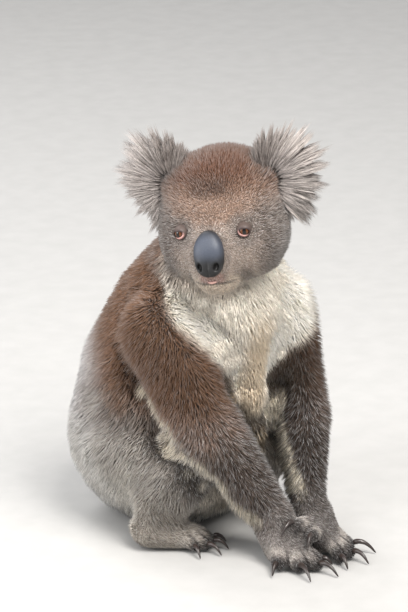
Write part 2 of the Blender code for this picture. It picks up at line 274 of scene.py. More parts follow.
def add_pinna(bm, side):
    """The cup of the ear, a bent disc that the fan of long hair grows from."""
    sign = SIDES[side]
    middle = in_head(centre(f"ear_{side}")) + np.array([-0.012 * sign, 0.004, 0.002])
    place = Matrix.Translation(Vector(middle))
    made = bmesh.ops.create_uvsphere(bm, u_segments=32, v_segments=20, radius=1)["verts"]
    for vert in made:
        x, y, z = np.array(vert.co) * PINNA
        y += PINNA_BEND * (x * x + z * z) - 0.10 * sign * x
        vert.co = place @ Vector((x, y, z))
        vert.co = Vector(from_head(np.array(vert.co)))


def region_weights(points, names):
    """How much each point belongs to each CAD node, from how near the nodes' surfaces are."""
    clouds = []
    for name in names:
        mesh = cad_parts[name].data
        co = points_of(mesh)
        mesh.calc_loop_triangles()
        tris = np.array([t.vertices[:] for t in mesh.loop_triangles])
        a, b, c = (co[tris[:, k]] for k in range(3))
        area = np.linalg.norm(np.cross(b - a, c - a), axis=1)
        picked = rng.choice(len(tris), SAMPLES, p=area / area.sum())
        u, v = rng.random((2, SAMPLES, 1))
        turned = u + v > 1
        u, v = np.where(turned, 1 - u, u), np.where(turned, 1 - v, v)
        clouds.append(a[picked] + u * (b - a)[picked] + v * (c - a)[picked])
    far = np.empty((len(points), len(names)), np.float32)
    for k, cloud in enumerate(clouds):
        square = (points**2).sum(1)[:, None] + (cloud**2).sum(1) - 2 * points @ cloud.T
        far[:, k] = np.sqrt(np.maximum(square.min(1), 0))
    weight = np.exp(-(far - far.min(1, keepdims=True)) / BLEND)
    return weight / weight.sum(1, keepdims=True)


# Height of the coat above the skin and how far a tuft reaches along it, in metres.
COAT = {
    "rump": (0.016, 0.013),
    "abdomen": (0.016, 0.013),
    "chest": (0.018, 0.015),
    "neck": (0.017, 0.014),
    "head": (0.0080, 0.0070),
    "muzzle": (0.0040, 0.0036),
    "lower_jaw": (0.0042, 0.0050),
    "upper_arm": (0.012, 0.0095),
    "forearm": (0.009, 0.0080),
    "hand": (0.0024, 0.0042),
    "thigh": (0.013, 0.0105),
    "shank": (0.010, 0.0085),
    "foot": (0.0026, 0.0042),
    "ear": (0.0015, 0.008),
}


def kind_of(name):
    return name.removesuffix("_right").removesuffix("_left")


SHOULDER = centre("upper_arm_right")[2]
NODE_COAT = np.array([COAT[kind_of(name)] for name in FLESH])
COLUMN = {name: k for k, name in enumerate(FLESH)}


def share_of(weights, *kinds):
    """The part of each point's weight that lies in these kinds of node."""
    return sum(weights[:, k] for name, k in COLUMN.items() if kind_of(name) in kinds)


def crease_mask(points, weights):
    """1 along the creases where a limb lies on the trunk or another limb, below the shoulder."""
    body = share_of(weights, "rump", "abdomen", "chest")
    arms = share_of(weights, "upper_arm", "forearm")
    legs = share_of(weights, "thigh", "shank")
    below = step(SHOULDER + 0.015, SHOULDER - 0.035, points[:, 2])
    found = below * np.clip(4 * body * arms, 0, 1) ** 2
    found = found + 0.45 * np.clip(4 * body * legs, 0, 1) ** 6 * step(0.0, -0.04, points[:, 1])
    found = found + np.clip(4 * arms * legs, 0, 1) ** 2
    return np.clip(found, 0, 1)


def coat_size(points, weights):
    """Height and reach of the coat: short round the eyes and nose, long on cheeks and bib."""
    size = weights @ NODE_COAT
    local = in_head(points)
    on_head = share_of(weights, "head", "muzzle", "lower_jaw")
    back = step(-0.055, 0.010, local[:, 1])
    low = step(-0.01, -0.04, local[:, 2]) * step(0.015, 0.04, np.abs(local[:, 0]))
    head_scale = 0.42 + 0.58 * back + 0.55 * low * step(-0.06, -0.03, local[:, 1])
    size = size * (1 + on_head * (head_scale - 1))[:, None]
    bib = bib_mask(points, weights)
    return size * (1 + 0.30 * bib * step(0.20, 0.25, points[:, 2]))[:, None]


def tuft_size(points, weights):
    """As the coat's size, but longer where the hair stands out of the coat in a fringe."""
    size = coat_size(points, weights)
    by_ear = ear_edge(points) * share_of(weights, "head")
    fringe = sum(arm_fringe(points, weights, side) for side in SIDES)
    valley = 4 * share_of(weights, "upper_arm") * share_of(weights, "chest", "neck")
    shorter = 0.40 * crease_mask(points, weights) + 0.40 * np.clip(valley, 0, 1)
    return size * (1 + 0.9 * by_ear + 0.45 * fringe - shorter)[:, None]


MOUTH_LEVEL = -0.0490  # in the head's frame
EAR_FOCUS = np.array([0.052, 0.010, 0.040])  # the fan of each ear's hair spreads from here


def ear_edge(points):
    """1 on the head round the root of each ear, fading away from it."""
    local = in_head(points)
    local[:, 0] = np.abs(local[:, 0])
    far = np.linalg.norm((local - EAR_FOCUS - [-0.002, 0, 0.010]) / np.array([0.7, 1, 1.2]), axis=1)
    return step(0.034, 0.016, far)


def off_axis(points, start, end):
    """How far along the line from start to end each point is, and its offset from that line."""
    line = end - start
    share = np.clip((points - start) @ line / (line @ line), 0, 1)
    return share, points - start - share[:, None] * line


def arm_fringe(points, weights, side):
    """1 along the rear edge of the arm, from above the elbow to the wrist."""
    upper, fore, hand = (centre(name) for name in ARMS[side])
    elbow = (upper + fore) / 2
    _, offset = off_axis(points, elbow, hand)
    facing = unit(offset) @ unit(np.array([0, 0.92, -0.38]))
    length = step(upper[2] + 0.005, upper[2] - 0.035, points[:, 2])
    arm = weights[:, COLUMN[f"forearm_{side}"]] + weights[:, COLUMN[f"upper_arm_{side}"]]
    others = 1 - arm - weights[:, COLUMN[f"hand_{side}"]]
    touching = step(0.06, 0.22, others) * step(-0.15, 0.25, facing) * step(0.22, 0.19, points[:, 2])
    rear = np.maximum(step(0.55, 0.84, facing), touching)
    return rear * length * step(0.45, 0.64, arm)


CHEST_CENTRE = centre("chest")
BIB_FOOT, BIB_RISE = 0.185, 0.09  # where the bib starts to widen, and over what height
BIB_HALF, BIB_SPREAD = 12, 41  # half its width low down and what that gains, in degrees
BIB_TURN = -6  # its middle, in degrees from straight ahead


def bib_mask(points, weights):
    """The white bib: a wedge down the front of the neck and chest, wide above and narrow below."""
    rel = points - CHEST_CENTRE
    turn = np.degrees(np.arctan2(rel[:, 0], -rel[:, 1]))
    height = (points[:, 2] - BIB_FOOT) / BIB_RISE
    half = BIB_HALF + BIB_SPREAD * np.clip(height, 0, 1.3)
    inside = step(half + 4, half - 4, np.abs(turn - BIB_TURN))
    ahead = step(0.020, -0.010, points[:, 1] + 0.25 * points[:, 0])
    top = step(0.140, 0.180, points[:, 2]) * ahead
    allowed = share_of(weights, "chest", "neck", "upper_arm", "abdomen")
    return inside * top * np.clip(allowed * 1.4, 0, 1)


def make_skin():
    whole = bmesh.new()
    groups = [(TRUNK, lambda p: np.full(len(p), -0.5))]
    groups += [(ARMS[side], loose_arm(side)) for side in SIDES]
    groups += [(LEGS[side], loose_leg(side)) for side in SIDES]
    for names, loose in groups:
        mesh = limb_mesh(names, loose)
        whole.from_mesh(mesh)
        bpy.data.meshes.remove(mesh)
    mesh = remeshed(whole)
    points, edges = points_of(mesh), edges_of(mesh)
    weights = region_weights(points, FLESH)
    fine = share_of(weights, "hand", "foot", "muzzle", "lower_jaw")
    points = smoothed(points, edges, SKIN_ROUNDS, 0.5 * (1 - 0.92 * fine))
    shoulder = share_of(weights, "upper_arm") * share_of(weights, "chest", "neck", "abdomen")
    shoulder = np.clip(6 * shoulder, 0, 1) * step(SHOULDER - 0.04, SHOULDER, points[:, 2])
    shoulder = smoothed(shoulder[:, None], edges, 20)[:, 0]
    points = smoothed(points, edges, SHOULDER_ROUNDS, 0.7 * shoulder)
    set_points(mesh, points)
    for _ in range(INSET_STEPS):
        depth = coat_size(points, weights)[:, 0] + CREASE_DEPTH * crease_mask(points, weights)
        points = points - normals_of(mesh) * depth[:, None] / INSET_STEPS
        points = smoothed(points, edges, 2, 0.4 * (1 - 0.85 * fine))
        set_points(mesh, points)
    final = bmesh.new()
    final.from_mesh(mesh)
    for side in SIDES:
        add_pinna(final, side)
    mesh = remeshed(final)
    points = smoothed(points_of(mesh), edges_of(mesh), 2)
    points[:, 2] = np.maximum(points[:, 2], HAIR_FLOOR)
    set_points(mesh, points)
    mesh.name = "skin"
    mesh.shade_smooth()
    return add_object("skin", mesh)


# ---- Markings and painted shade, the same on the skin and on the coat ----


def rgb(r, g, b):
    """A colour of the coat as it reads in even light, made linear."""
    return (np.array([r, g, b]) / 255.0) ** 2.2


BROWN = rgb(124, 92, 70)
FLANK = rgb(92, 69, 54)
CROWN = rgb(96, 58, 34)
FOREHEAD = rgb(164, 137, 120)
ARM_GREY = rgb(118, 102, 92)
UPPER_ARM = rgb(178, 150, 134)
BACK_GREY = rgb(216, 214, 214)
RUMP_GREY = rgb(200, 196, 189)
SEAT = rgb(254, 252, 246)
CREAM = rgb(246, 238, 225)
STAIN = rgb(220, 188, 140)
FACE_GREY = rgb(172, 157, 146)
CHEEK = rgb(114, 104, 98)
LID_GREY = rgb(136, 126, 120)
CHIN = rgb(204, 188, 170)
LIP = rgb(186, 156, 146)
BELLY = rgb(190, 172, 146)
LEG_GREY = rgb(186, 179, 171)
SHANK_GREY = rgb(164, 156, 147)
HAND_GREY = rgb(160, 152, 147)
FOOT = rgb(182, 173, 162)
KNUCKLE = rgb(206, 198, 190)
DIGIT = rgb(58, 54, 54)
FRINGE = rgb(234, 223, 202)
EAR_WHITE = rgb(216, 207, 202)
EAR_GREY = rgb(118, 109, 104)
EAR_DARK = rgb(84, 75, 72)
# Painted shade for the line of the mouth and the grooves between the digits; also darkens the
# patches beside the mouth.
DARK_LINE = rgb(52, 42, 40)

NODE_COLOUR = {
    "rump": RUMP_GREY,
    "abdomen": FLANK,
    "chest": BROWN,
    "neck": BROWN,
    "head": FACE_GREY,
    "muzzle": FACE_GREY,
    "lower_jaw": CHIN,
    "upper_arm": UPPER_ARM,
    "forearm": ARM_GREY,
    "hand": HAND_GREY,
    "thigh": LEG_GREY,
    "shank": SHANK_GREY,
    "foot": FOOT,
    "ear": EAR_DARK,
}
NODE_COLOURS = np.array([NODE_COLOUR[kind_of(name)] for name in FLESH])
patches = lattice(60, 3)
mottle = lattice(240, 4)
fleck = lattice(520, 5)
TOES = {name: centre(name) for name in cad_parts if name.startswith(("claw", "toe_claw"))}


def mix(colours, other, mask):
    return colours + (other - colours) * np.clip(mask, 0, 1)[:, None]


def markings_and_shade(points, weights):
    """The colour of the coat at each point, with painted shade in the creases and on the arms, and
    how strong its light and dark ticking is.
    """
    colours = weights @ NODE_COLOURS
    soft = 0.012 * patches(points)
    x, y, z = points.T
    trunk = share_of(weights, "rump", "abdomen", "chest", "neck")
    upper = share_of(weights, "abdomen", "chest", "neck", "upper_arm")
    mantle = step(0.130, 0.195, z + 0.25 * y + soft) * upper
    colours = mix(colours, BROWN, mantle * 0.95)
    far_back = step(0.075, 0.150, y - 0.40 * (z - 0.20) + soft) * trunk
    colours = mix(colours, BACK_GREY, far_back * 0.85 * step(0.36, 0.24, z))
    low = step(0.155, 0.085, z + 0.6 * soft) * step(-0.02, 0.03, y) * trunk
    colours = mix(colours, RUMP_GREY, low * 0.85)
    colours = mix(colours, SEAT, step(0.120, 0.045, z) * trunk)
    belly = step(0.03, -0.02, y) * step(0.225, 0.19, z) * trunk
    colours = mix(colours, BELLY, belly)
    bib = bib_mask(points + 0.002 * mottle(points)[:, None], weights)
    colours = mix(colours, CREAM, bib)
    stain = bib * step(0.022, 0.004, np.abs(x - CHEST_CENTRE[0] + 0.012)) * step(0.30, 0.25, z)
    colours = mix(colours, STAIN, stain * 0.45)
    for side in SIDES:
        colours = limb_markings_and_shade(colours, points, weights, side, bib)
    colours = head_markings_and_shade(colours, points, weights)
    fringe = sum(arm_fringe(points, weights, side) for side in SIDES)
    # Painted shade: the coat is darkened by up to 65 % along the creases where a limb lies on the
    # body or on another limb.
    crease = crease_mask(points, weights) * (1 - bib) * (1 - np.clip(fringe, 0, 1))
    colours = colours * (1 - 0.65 * crease)[:, None]
    colours = colours * (1 + 0.09 * fleck(points) * (1 - 0.5 * bib))[:, None]
    arms = share_of(weights, "forearm", "upper_arm")
    ticking = 1.0 - 0.45 * mantle + 0.55 * arms * (1 - mantle)
    crown = share_of(weights, "head") * step(0.010, 0.060, in_head(points)[:, 2])
    ticking = ticking * (1 - 0.85 * bib) * (1 - 0.65 * crown)
    return np.clip(colours, 0.01, 0.95), ticking


def limb_markings_and_shade(colours, points, weights, side, bib):
    own = {kind: weights[:, COLUMN[f"{kind}_{side}"]] for kind in ("hand", "shank", "foot")}
    upper, fore, _ = (centre(name) for name in ARMS[side])
    _, offset = off_axis(points, upper, fore)
    # Painted shade: the inner side of each arm, facing the body, is darkened by up to half on the
    # upper arm and a quarter on the forearm.
    inner = step(0.15, 0.80, unit(offset) @ unit(np.array([-SIDES[side], -0.45, 0])))
    high = weights[:, COLUMN[f"upper_arm_{side}"]]
    low = weights[:, COLUMN[f"forearm_{side}"]]
    colours = colours * (1 - inner * (0.50 * high + 0.25 * low) * (1 - bib))[:, None]
    if side == "left":  # painted shade: the arm held back lies in shade, so its coat is made up to half darker
        darker = 0.50 * high + 0.30 * low + 0.40 * own["hand"]
        colours = colours * (1 - darker * (1 - bib))[:, None]
    colours = mix(colours, FRINGE, arm_fringe(points, weights, side) * 0.85)
    rear = step(0.010, 0.030, points[:, 1] - centre(f"shank_{side}")[1])
    colours = mix(colours, rgb(222, 216, 204), rear * own["shank"] * 0.8)
    for limb, prefix in (("hand", "claw"), ("foot", "toe_claw")):
        along, along_share, groove = digit_map(points, limb, prefix, side)
        knuckle = np.exp(-(((along_share - 0.52) / 0.10) ** 2)) * (1 - groove)
        colours = mix(colours, KNUCKLE, knuckle * own[limb] * 0.75)
        colours = mix(colours, DIGIT, along * own[limb] * 0.9)
        # Painted shade: the grooves between the digits are darkened.
        colours = mix(colours, DARK_LINE, groove * own[limb] * 0.8)
    return colours


def digit_map(points, limb, prefix, side):
    """For each point: how near its digit's end, how far along, and the groove beside the digit."""
    palm = centre(f"{limb}_{side}")
    far, share = [], []
    for name, spot in TOES.items():
        if name.startswith(f"{prefix}_{side}"):
            along, offset = off_axis(points, palm, spot)
            far.append(np.linalg.norm(offset, axis=1))
            share.append(along)
    far, share = np.array(far), np.array(share)
    order = np.argsort(far, axis=0)
    first, second = (np.take_along_axis(far, order[k : k + 1], 0)[0] for k in (0, 1))
    own_share = np.take_along_axis(share, order[:1], 0)[0]
    groove = step(0.0045, 0.0010, second - first) * step(0.35, 0.60, own_share)
    return step(0.58, 0.78, own_share), own_share, groove


def head_markings_and_shade(colours, points, weights):
    on_head = share_of(weights, "head", "muzzle", "lower_jaw")
    local = in_head(points)
    x, y, z = local.T
    wide = np.abs(x)
    soft = 0.006 * patches(points)
    brow = step(-0.004, 0.022, z - 0.20 * wide + soft) * on_head
    colours = mix(colours, FOREHEAD, brow * 0.9)
    crown = step(0.024, 0.066, z + 0.35 * (y + 0.03) + soft) * on_head
    colours = mix(colours, CROWN, crown * 0.95)
    sides = step(0.036, 0.056, wide + soft) * step(0.045, 0.010, z) * on_head
    colours = mix(colours, CHEEK, sides * 0.8)
    for side in SIDES:
        near = np.linalg.norm(points - EYES[side], axis=1)
        colours = mix(colours, LID_GREY, step(0.024, 0.013, near) * on_head * 0.7)
    chin = np.linalg.norm((local - [0, -0.062, -0.056]) / np.array([1.2, 1.0, 0.9]), axis=1)
    # Darker patches just past each end of the mouth.
    mouth_side_dark = np.hypot((wide - 0.031) / 0.006, (z + 0.052) / 0.014)
    mouth_side_dark = step(1.4, 0.5, mouth_side_dark) * step(-0.025, -0.04, y)
    colours = mix(colours, DARK_LINE, mouth_side_dark * on_head * 0.45)
    colours = mix(colours, CHIN, step(0.026, 0.019, chin) * on_head)
    rim = np.linalg.norm((points - NOSE) @ HEAD_AXES.T / np.array([0.0225, 0.030, 0.033]), axis=1)
    colours = mix(colours, LID_GREY, step(1.14, 0.96, rim) * on_head * 0.4)
    lip = step(0.0070, 0.0035, np.abs(z + 0.0430)) * step(0.017, 0.010, wide)
    colours = mix(colours, LIP, lip * step(-0.055, -0.062, y) * on_head * 0.9)
    # Painted shade: the line of the mouth is darkened.
    mouth = np.abs(z - MOUTH_LEVEL + 0.05 * wide)
    line = step(0.0022, 0.0010, mouth) * step(0.026, 0.018, wide) * step(-0.030, -0.040, y)
    colours = mix(colours, DARK_LINE, line * on_head * 0.6)
    colours = mix(colours, EAR_DARK, ear_edge(points) * on_head * 0.75)
    band = step(0.014, 0.004, np.abs(z - 0.046 - soft)) * step(0.030, 0.010, wide)
    return mix(colours, rgb(88, 70, 62), band * step(0.02, -0.01, y) * on_head * 0.6)


# ---- The lie of the coat ----

wander = [lattice(34, seed) for seed in (21, 22, 23)]
clump = [lattice(330, seed) for seed in (31, 32, 33)]


def lie_of_coat(points, normals, weights):
    """The direction in which the coat lies at each point, along the skin."""
    ahead = {}
    down = np.array([0, 0.25, -1.0])
    for name in ("rump", "abdomen", "chest", "neck"):
        ahead[name] = down
    for side in SIDES:
        arm = [centre(name) for name in ARMS[side]]
        leg = [centre(name) for name in LEGS[side]]
        claws = np.mean([c for n, c in TOES.items() if n.startswith(f"claw_{side}")], axis=0)
        toes = np.mean([c for n, c in TOES.items() if n.startswith(f"toe_claw_{side}")], axis=0)
        ahead[f"upper_arm_{side}"] = unit(arm[1] - arm[0]) + np.array([0, 0.25, -0.2])
        ahead[f"forearm_{side}"] = unit(arm[2] - arm[1]) + np.array([0, 0.35, -0.2])
        ahead[f"hand_{side}"] = claws - arm[2]
        ahead[f"thigh_{side}"] = unit(leg[1] - leg[0]) + np.array([0, 0.3, -0.7])
        ahead[f"shank_{side}"] = down
        ahead[f"foot_{side}"] = toes - leg[2]
    for name in ("head", "muzzle", "lower_jaw", *EARS):
        ahead[name] = np.zeros(3)
    lie = weights @ unit(np.array([ahead[name] for name in FLESH]))
    on_head = share_of(weights, "head", "muzzle", "lower_jaw", "ear")[:, None]
    lie = lie + on_head * unit(points - NOSE + turn_from_head([0, 0.0, -0.012]))
    front = bib_mask(points, weights)[:, None]
    lie = lie + front * np.array([0, -0.15, -0.6])
    sway = np.stack([f(points) for f in wander], axis=1)
    bunch = np.stack([f(points) for f in clump], axis=1)
    lie = lie + (0.16 * sway + 0.16 * bunch) * (1 - 0.55 * front)
    lie = lie - normals * (lie * normals).sum(1, keepdims=True)
    return unit(lie)


# ---- The coat ----

PATCH = 0.0015  # half the size of a tuft's patch on the map
# Each kind of tuft is closed: its faces, and where its points lie on its patch.
SPIKE = np.array([[0, 2, 1], [0, 1, 3], [1, 2, 3], [2, 0, 3]])
SPIKE_UV = np.array([[-1, -0.9], [-1, 0.9], [-0.3, 0.1], [1, 0]]) * PATCH
BENT = np.array([[0, 2, 1], [0, 3, 2], [0, 1, 3], [1, 2, 4], [2, 3, 4], [3, 1, 4]])
BENT_UV = np.array([[-1, 0], [0, -0.8], [0, 0.8], [0, 0], [1, 0]]) * PATCH
SIDES_OF_LOCK = [[1, 2, 5, 4], [2, 3, 6, 5], [3, 1, 4, 6]]
LOCK = np.array(
    [[0, 2, 1], [0, 3, 2], [0, 1, 3]]
    + [face for a, b, c, d in SIDES_OF_LOCK for face in ([a, b, c], [a, c, d])]
    + [[4, 5, 7], [5, 6, 7], [6, 4, 7]]
)
LOCK_UV = [[-1, 0], [-0.4, -0.9], [-0.4, 0.9], [-0.5, 0.1]]
LOCK_UV = np.array(LOCK_UV + [[0.3, -0.6], [0.3, 0.6], [0.2, 0.1], [1, 0]]) * PATCH
SHAPES = {4: (SPIKE, SPIKE_UV), 5: (BENT, BENT_UV), 8: (LOCK, LOCK_UV)}


class Roots:
    """Points spread over the skin, with what the skin knows at each."""

    def __init__(self, skin, weights, density, total):
        mesh = skin.data
        mesh.calc_loop_triangles()
        tris = array_of(mesh.loop_triangles, "vertices", 3, np.int32)
        loops = array_of(mesh.loop_triangles, "loops", 3, np.int32)
        normal = normals_of(mesh)
        uv = array_of(mesh.uv_layers["OFBake"].uv, "vector", 2)
        corners = points_of(mesh)[tris]
        one, other = corners[:, 1] - corners[:, 0], corners[:, 2] - corners[:, 0]
        chance = np.linalg.norm(np.cross(one, other), axis=1) * density[tris].mean(1)
        even = (np.arange(total) + rng.random(total)) / total
        picked = np.searchsorted(np.cumsum(chance) / chance.sum(), even)
        picked = np.minimum(picked, len(tris) - 1)
        u, v = rng.random((2, total))
        u, v = np.where(u + v > 1, 1 - u, u), np.where(u + v > 1, 1 - v, v)
        bary = np.stack([1 - u - v, u, v], axis=1)[:, :, None]
        self.point = (corners[picked] * bary).sum(1)
        self.normal = unit((normal[tris[picked]] * bary).sum(1))
        self.weights = (weights[tris[picked]] * bary).sum(1)
        self.uv = (uv[loops[picked]] * bary).sum(1)

    def keep(self, mask):
        for name in ("point", "normal", "weights", "uv"):
            setattr(self, name, getattr(self, name)[mask])


def ring_round(middle, side, up, width, turn):
    """Three points round the middle, as many arrays."""
    ring = []
    for k in range(3):
        angle = turn + k * math.tau / 3
        ring.append(middle + (side * np.cos(angle) + up * np.sin(angle)) * width)
    return ring


def tuft_shades(colours, ticking, n):
    """Darkened at the root as painted shade, the coat's colour along it, and a tip made light or
    dark by the ticking.
    """
    tick = rng.normal(0, 1, (n, 1)).clip(-1.6, 1.9) * ticking[:, None]
    tone = 1 + (0.04 + 0.09 * ticking[:, None].clip(0, 1)) * rng.normal(0, 1, (n, 1)).clip(-2, 2)
    body = colours * tone
    tip = np.where(tick > 0, body + (0.84 - body) * 0.27 * tick, body * (1 + 0.46 * tick))
    # Painted shade: each tuft is darkened towards its root, the more so in darker coat.
    root = 0.42 + 0.62 * colours.mean(1, keepdims=True)
    return body * root, body * (1 + 0.14 * tick), tip


def tufts(root, normal, lie, size, width, colours, ticking, bent):
    """Closed tufts rooted in the skin, straight or bent over. Returns their points and colours."""
    n = len(root)
    height, reach = size[:, :1], size[:, 1:2]
    vary = rng.uniform(0.76, 1.10, (n, 1))
    side = np.cross(normal, lie)
    lie = unit(lie + side * rng.normal(0, 0.20, (n, 1)))
    side = np.cross(normal, lie)
    tip = root + normal * height * vary + lie * reach * vary
    tip += side * rng.normal(0, 0.07, (n, 1)) * reach
    along = unit(tip - root)
    up = unit(np.cross(along, side))
    turn = rng.uniform(0, math.tau / 3, (n, 1))
    dark, body, light = tuft_shades(colours, ticking, n)
    if bent:
        middle = root + normal * height * 0.60 * vary + lie * reach * 0.34 * vary
        points = [root - normal * 0.0012, *ring_round(middle, side, up, width, turn), tip]
        shades = [dark, body, body, body, light]
    else:
        points = [*ring_round(root - normal * 0.0004, side, up, width, turn), tip]
        shades = [dark * 1.3, dark * 1.3, dark * 1.3, light]
    return np.stack(points, axis=1), np.clip(np.stack(shades, axis=1), 0.008, 0.95)


def coat_piece(name, verts, shades, uv):
    n, size = verts.shape[:2]
    shape, layout = SHAPES[size]
    verts[:, :, 2] = np.maximum(verts[:, :, 2], HAIR_FLOOR + 0.0008 * rng.random((n, size)))
    faces = (np.arange(n)[:, None, None] * size + shape).reshape(-1, 3)
    mesh = mesh_from(verts.reshape(-1, 3), faces, name)
    object_colours(mesh, shades.reshape(-1, 3))
    places = uv[:, None] + layout
    layer = mesh.uv_layers.new(name="OFBake")
    flat = places.reshape(-1, 2)[faces.ravel()]
    layer.uv.foreach_set("vector", np.ascontiguousarray(flat, np.float32).ravel())
    mesh.materials.append(fur_material)
    obj = add_object(name, mesh)
    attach(obj, "root")


# ---- Materials ----


def new_material(name, roughness, specular=0.3):
    made = bpy.data.materials.new(name)
    made.use_nodes = True
    tree = made.node_tree
    shader = tree.nodes["Principled BSDF"]
    shader.inputs["Roughness"].default_value = roughness
    shader.inputs["Specular IOR Level"].default_value = specular
    return made, tree, shader


def speckled(tree, source, scale, low, high):
    """The source colour, made lighter and darker by a noise of the given scale."""
    where = tree.nodes.new("ShaderNodeTexCoord")
    noise = tree.nodes.new("ShaderNodeTexNoise")
    noise.inputs["Scale"].default_value = scale
    noise.inputs["Detail"].default_value = 3.0
    tree.links.new(where.outputs["Object"], noise.inputs["Vector"])
    span = tree.nodes.new("ShaderNodeMapRange")
    span.inputs["From Min"].default_value = 0.3
    span.inputs["From Max"].default_value = 0.7
    span.inputs["To Min"].default_value = low
    span.inputs["To Max"].default_value = high
    tree.links.new(noise.outputs["Fac"], span.inputs["Value"])
    scaled = tree.nodes.new("ShaderNodeVectorMath")
    scaled.operation = "SCALE"
    tree.links.new(source, scaled.inputs[0])
    tree.links.new(span.outputs["Result"], scaled.inputs["Scale"])
    return scaled.outputs["Vector"], noise


def tinted_material(name, roughness, specular, scale, low, high, bump=0.0, bump_distance=0.0006):
    """A material that takes its colour from the mesh's own tint, broken up by fine noise."""
    made, tree, shader = new_material(name, roughness, specular)
    tint = tree.nodes.new("ShaderNodeAttribute")
    tint.attribute_name = "tint"
    colour, noise = speckled(tree, tint.outputs["Color"], scale, low, high)
    tree.links.new(colour, shader.inputs["Base Color"])
    if bump:
        rough = tree.nodes.new("ShaderNodeBump")
        rough.inputs["Strength"].default_value = bump
        rough.inputs["Distance"].default_value = bump_distance
        tree.links.new(noise.outputs["Fac"], rough.inputs["Height"])
        tree.links.new(rough.outputs["Normal"], shader.inputs["Normal"])
    return made, shader


fur_material, fur_shader = tinted_material("fur", 0.80, 0.14, 420, 0.86, 1.12)
fur_shader.inputs["Sheen Weight"].default_value = 0.12
fur_shader.inputs["Sheen Roughness"].default_value = 0.5
skin_material, _ = tinted_material("skin_underfur", 0.9, 0.15, 700, 0.7, 1.15, 0.6)
nose_material, _ = tinted_material("nose_leather", 0.48, 0.45, 1500, 0.8, 1.2, 0.35, 0.0004)
claw_material, _ = tinted_material("claw_horn", 0.28, 0.5, 300, 0.75, 1.3, 0.15, 0.0003)
lid_material, _ = tinted_material("lid_skin", 0.5, 0.4, 900, 0.85, 1.15, 0.3, 0.0003)
eye_material, eye_shader = tinted_material("eye", 0.08, 0.35, 1400, 0.85, 1.15)
eye_shader.inputs["Coat Weight"].default_value = 0.3
eye_shader.inputs["Coat Roughness"].default_value = 0.02

# ---- Build the skin and the coat ----

skin = make_skin()
skin_points = points_of(skin.data)
skin_weights = region_weights(skin_points, FLESH)
skin_edges = edges_of(skin.data)
skin_weights = smoothed(skin_weights, skin_edges, 12)
skin_colours, _ = markings_and_shade(skin_points, skin_weights)
object_colours(skin.data, skin_colours * (0.5 + 0.45 * skin_colours.mean(1, keepdims=True)))
skin.data.materials.clear()
skin.data.materials.append(skin_material)
bpy.context.view_layer.objects.active = skin
skin.select_set(True)
bpy.ops.object.mode_set(mode="EDIT")
bpy.ops.mesh.select_all(action="SELECT")
bpy.ops.uv.smart_project(angle_limit=math.radians(66), island_margin=0.002)
bpy.ops.object.mode_set(mode="OBJECT")
skin.data.uv_layers[0].name = "OFBake"
skin.select_set(False)
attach(skin, "root")
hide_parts(*FLESH)

DENSITY = {
    "rump": 0.75,
    "abdomen": 0.85,
    "chest": 1.0,
    "neck": 1.0,
    "head": 1.9,
    "muzzle": 3.6,
    "lower_jaw": 3.0,
    "upper_arm": 1.1,
    "forearm": 1.25,
    "hand": 1.8,
    "thigh": 0.95,
    "shank": 1.1,
    "foot": 1.7,
    "ear": 1.5,
}
density = skin_weights @ np.array([DENSITY[kind_of(name)] for name in FLESH])
BENT_TOTAL, SPIKE_TOTAL = ((66_000, 120_000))


EYE_BARE = 0.0062  # radius round each eye where no hair grows
PAD_BARE = np.array([0.0172, 0.026, 0.0268])  # half the size of the same round the nose


def bare_at(points, normals):
    """Where no hair grows: the eyes, the nose pad, and what the animal sits on."""
    bare = (points[:, 2] < 0.004) & (normals[:, 2] < -0.5)
    for side in SIDES:
        bare |= np.linalg.norm(points - EYES[side], axis=1) < EYE_BARE
    pad = (points - NOSE) @ HEAD_AXES.T / PAD_BARE
    return bare | (np.linalg.norm(pad, axis=1) < 1)


def grow_coat(total, members_of, bent):
    columns = [COLUMN[name] for names in members_of.values() for name in names]
    on = skin_weights[:, columns].sum(1)
    roots = Roots(skin, skin_weights, density * np.clip(on * 1.5, 0, 1), total)
    own = np.isin(roots.weights.argmax(1), columns)
    roots.keep(own & ~bare_at(roots.point, roots.normal))
    main_node = roots.weights.argmax(1)
    size = tuft_size(roots.point, roots.weights)
    colours, ticking = markings_and_shade(roots.point, roots.weights)
    lie = lie_of_coat(roots.point, roots.normal, roots.weights)
    thin = 0.00036 if bent else 0.00052
    width = np.clip(thin + 0.030 * size[:, 1:2], 0.0004, 0.0011)
    verts, shades = tufts(roots.point, roots.normal, lie, size, width, colours, ticking, bent)
    for name, names in members_of.items():
        mask = np.isin(main_node, [COLUMN[member] for member in names])
        coat_piece(name, verts[mask], shades[mask], roots.uv[mask])


grow_coat(BENT_TOTAL, {"coat_breast": ["chest", "neck"], "coat_back": ["abdomen", "rump"]}, True)
short = {"coat_head": ["head", "muzzle", "lower_jaw", *EARS]}
for side in SIDES:
    short[f"coat_arm_{side}"] = ARMS[side]
    short[f"coat_leg_{side}"] = LEGS[side]
grow_coat(SPIKE_TOTAL, short, False)

# ---- Ears ----

# How far the fan reaches from its focus, by the angle above straight out, in degrees.
FAN_ANGLES = [-100, -75, -50, -25, 0, 20, 45, 62, 80, 100, 122]
FAN_REACH = [0.026, 0.046, 0.072, 0.062, 0.073, 0.081, 0.087, 0.084, 0.070, 0.056, 0.040]
BUNCHES = 64  # of hair on each ear


def uv_of_skin(points):
    """The place on the skin's map that lies nearest to each point."""
    corner = array_of(skin.data.loops, "vertex_index", 1, np.int32)[:, 0]
    at_vertex = np.empty((len(skin_points), 2))
    at_vertex[corner] = array_of(skin.data.uv_layers["OFBake"].uv, "vector", 2)
    tree = KDTree(len(skin_points))
    for k, point in enumerate(skin_points):
        tree.insert(point, k)
    tree.balance()
    return at_vertex[[tree.find(point)[1] for point in points]]


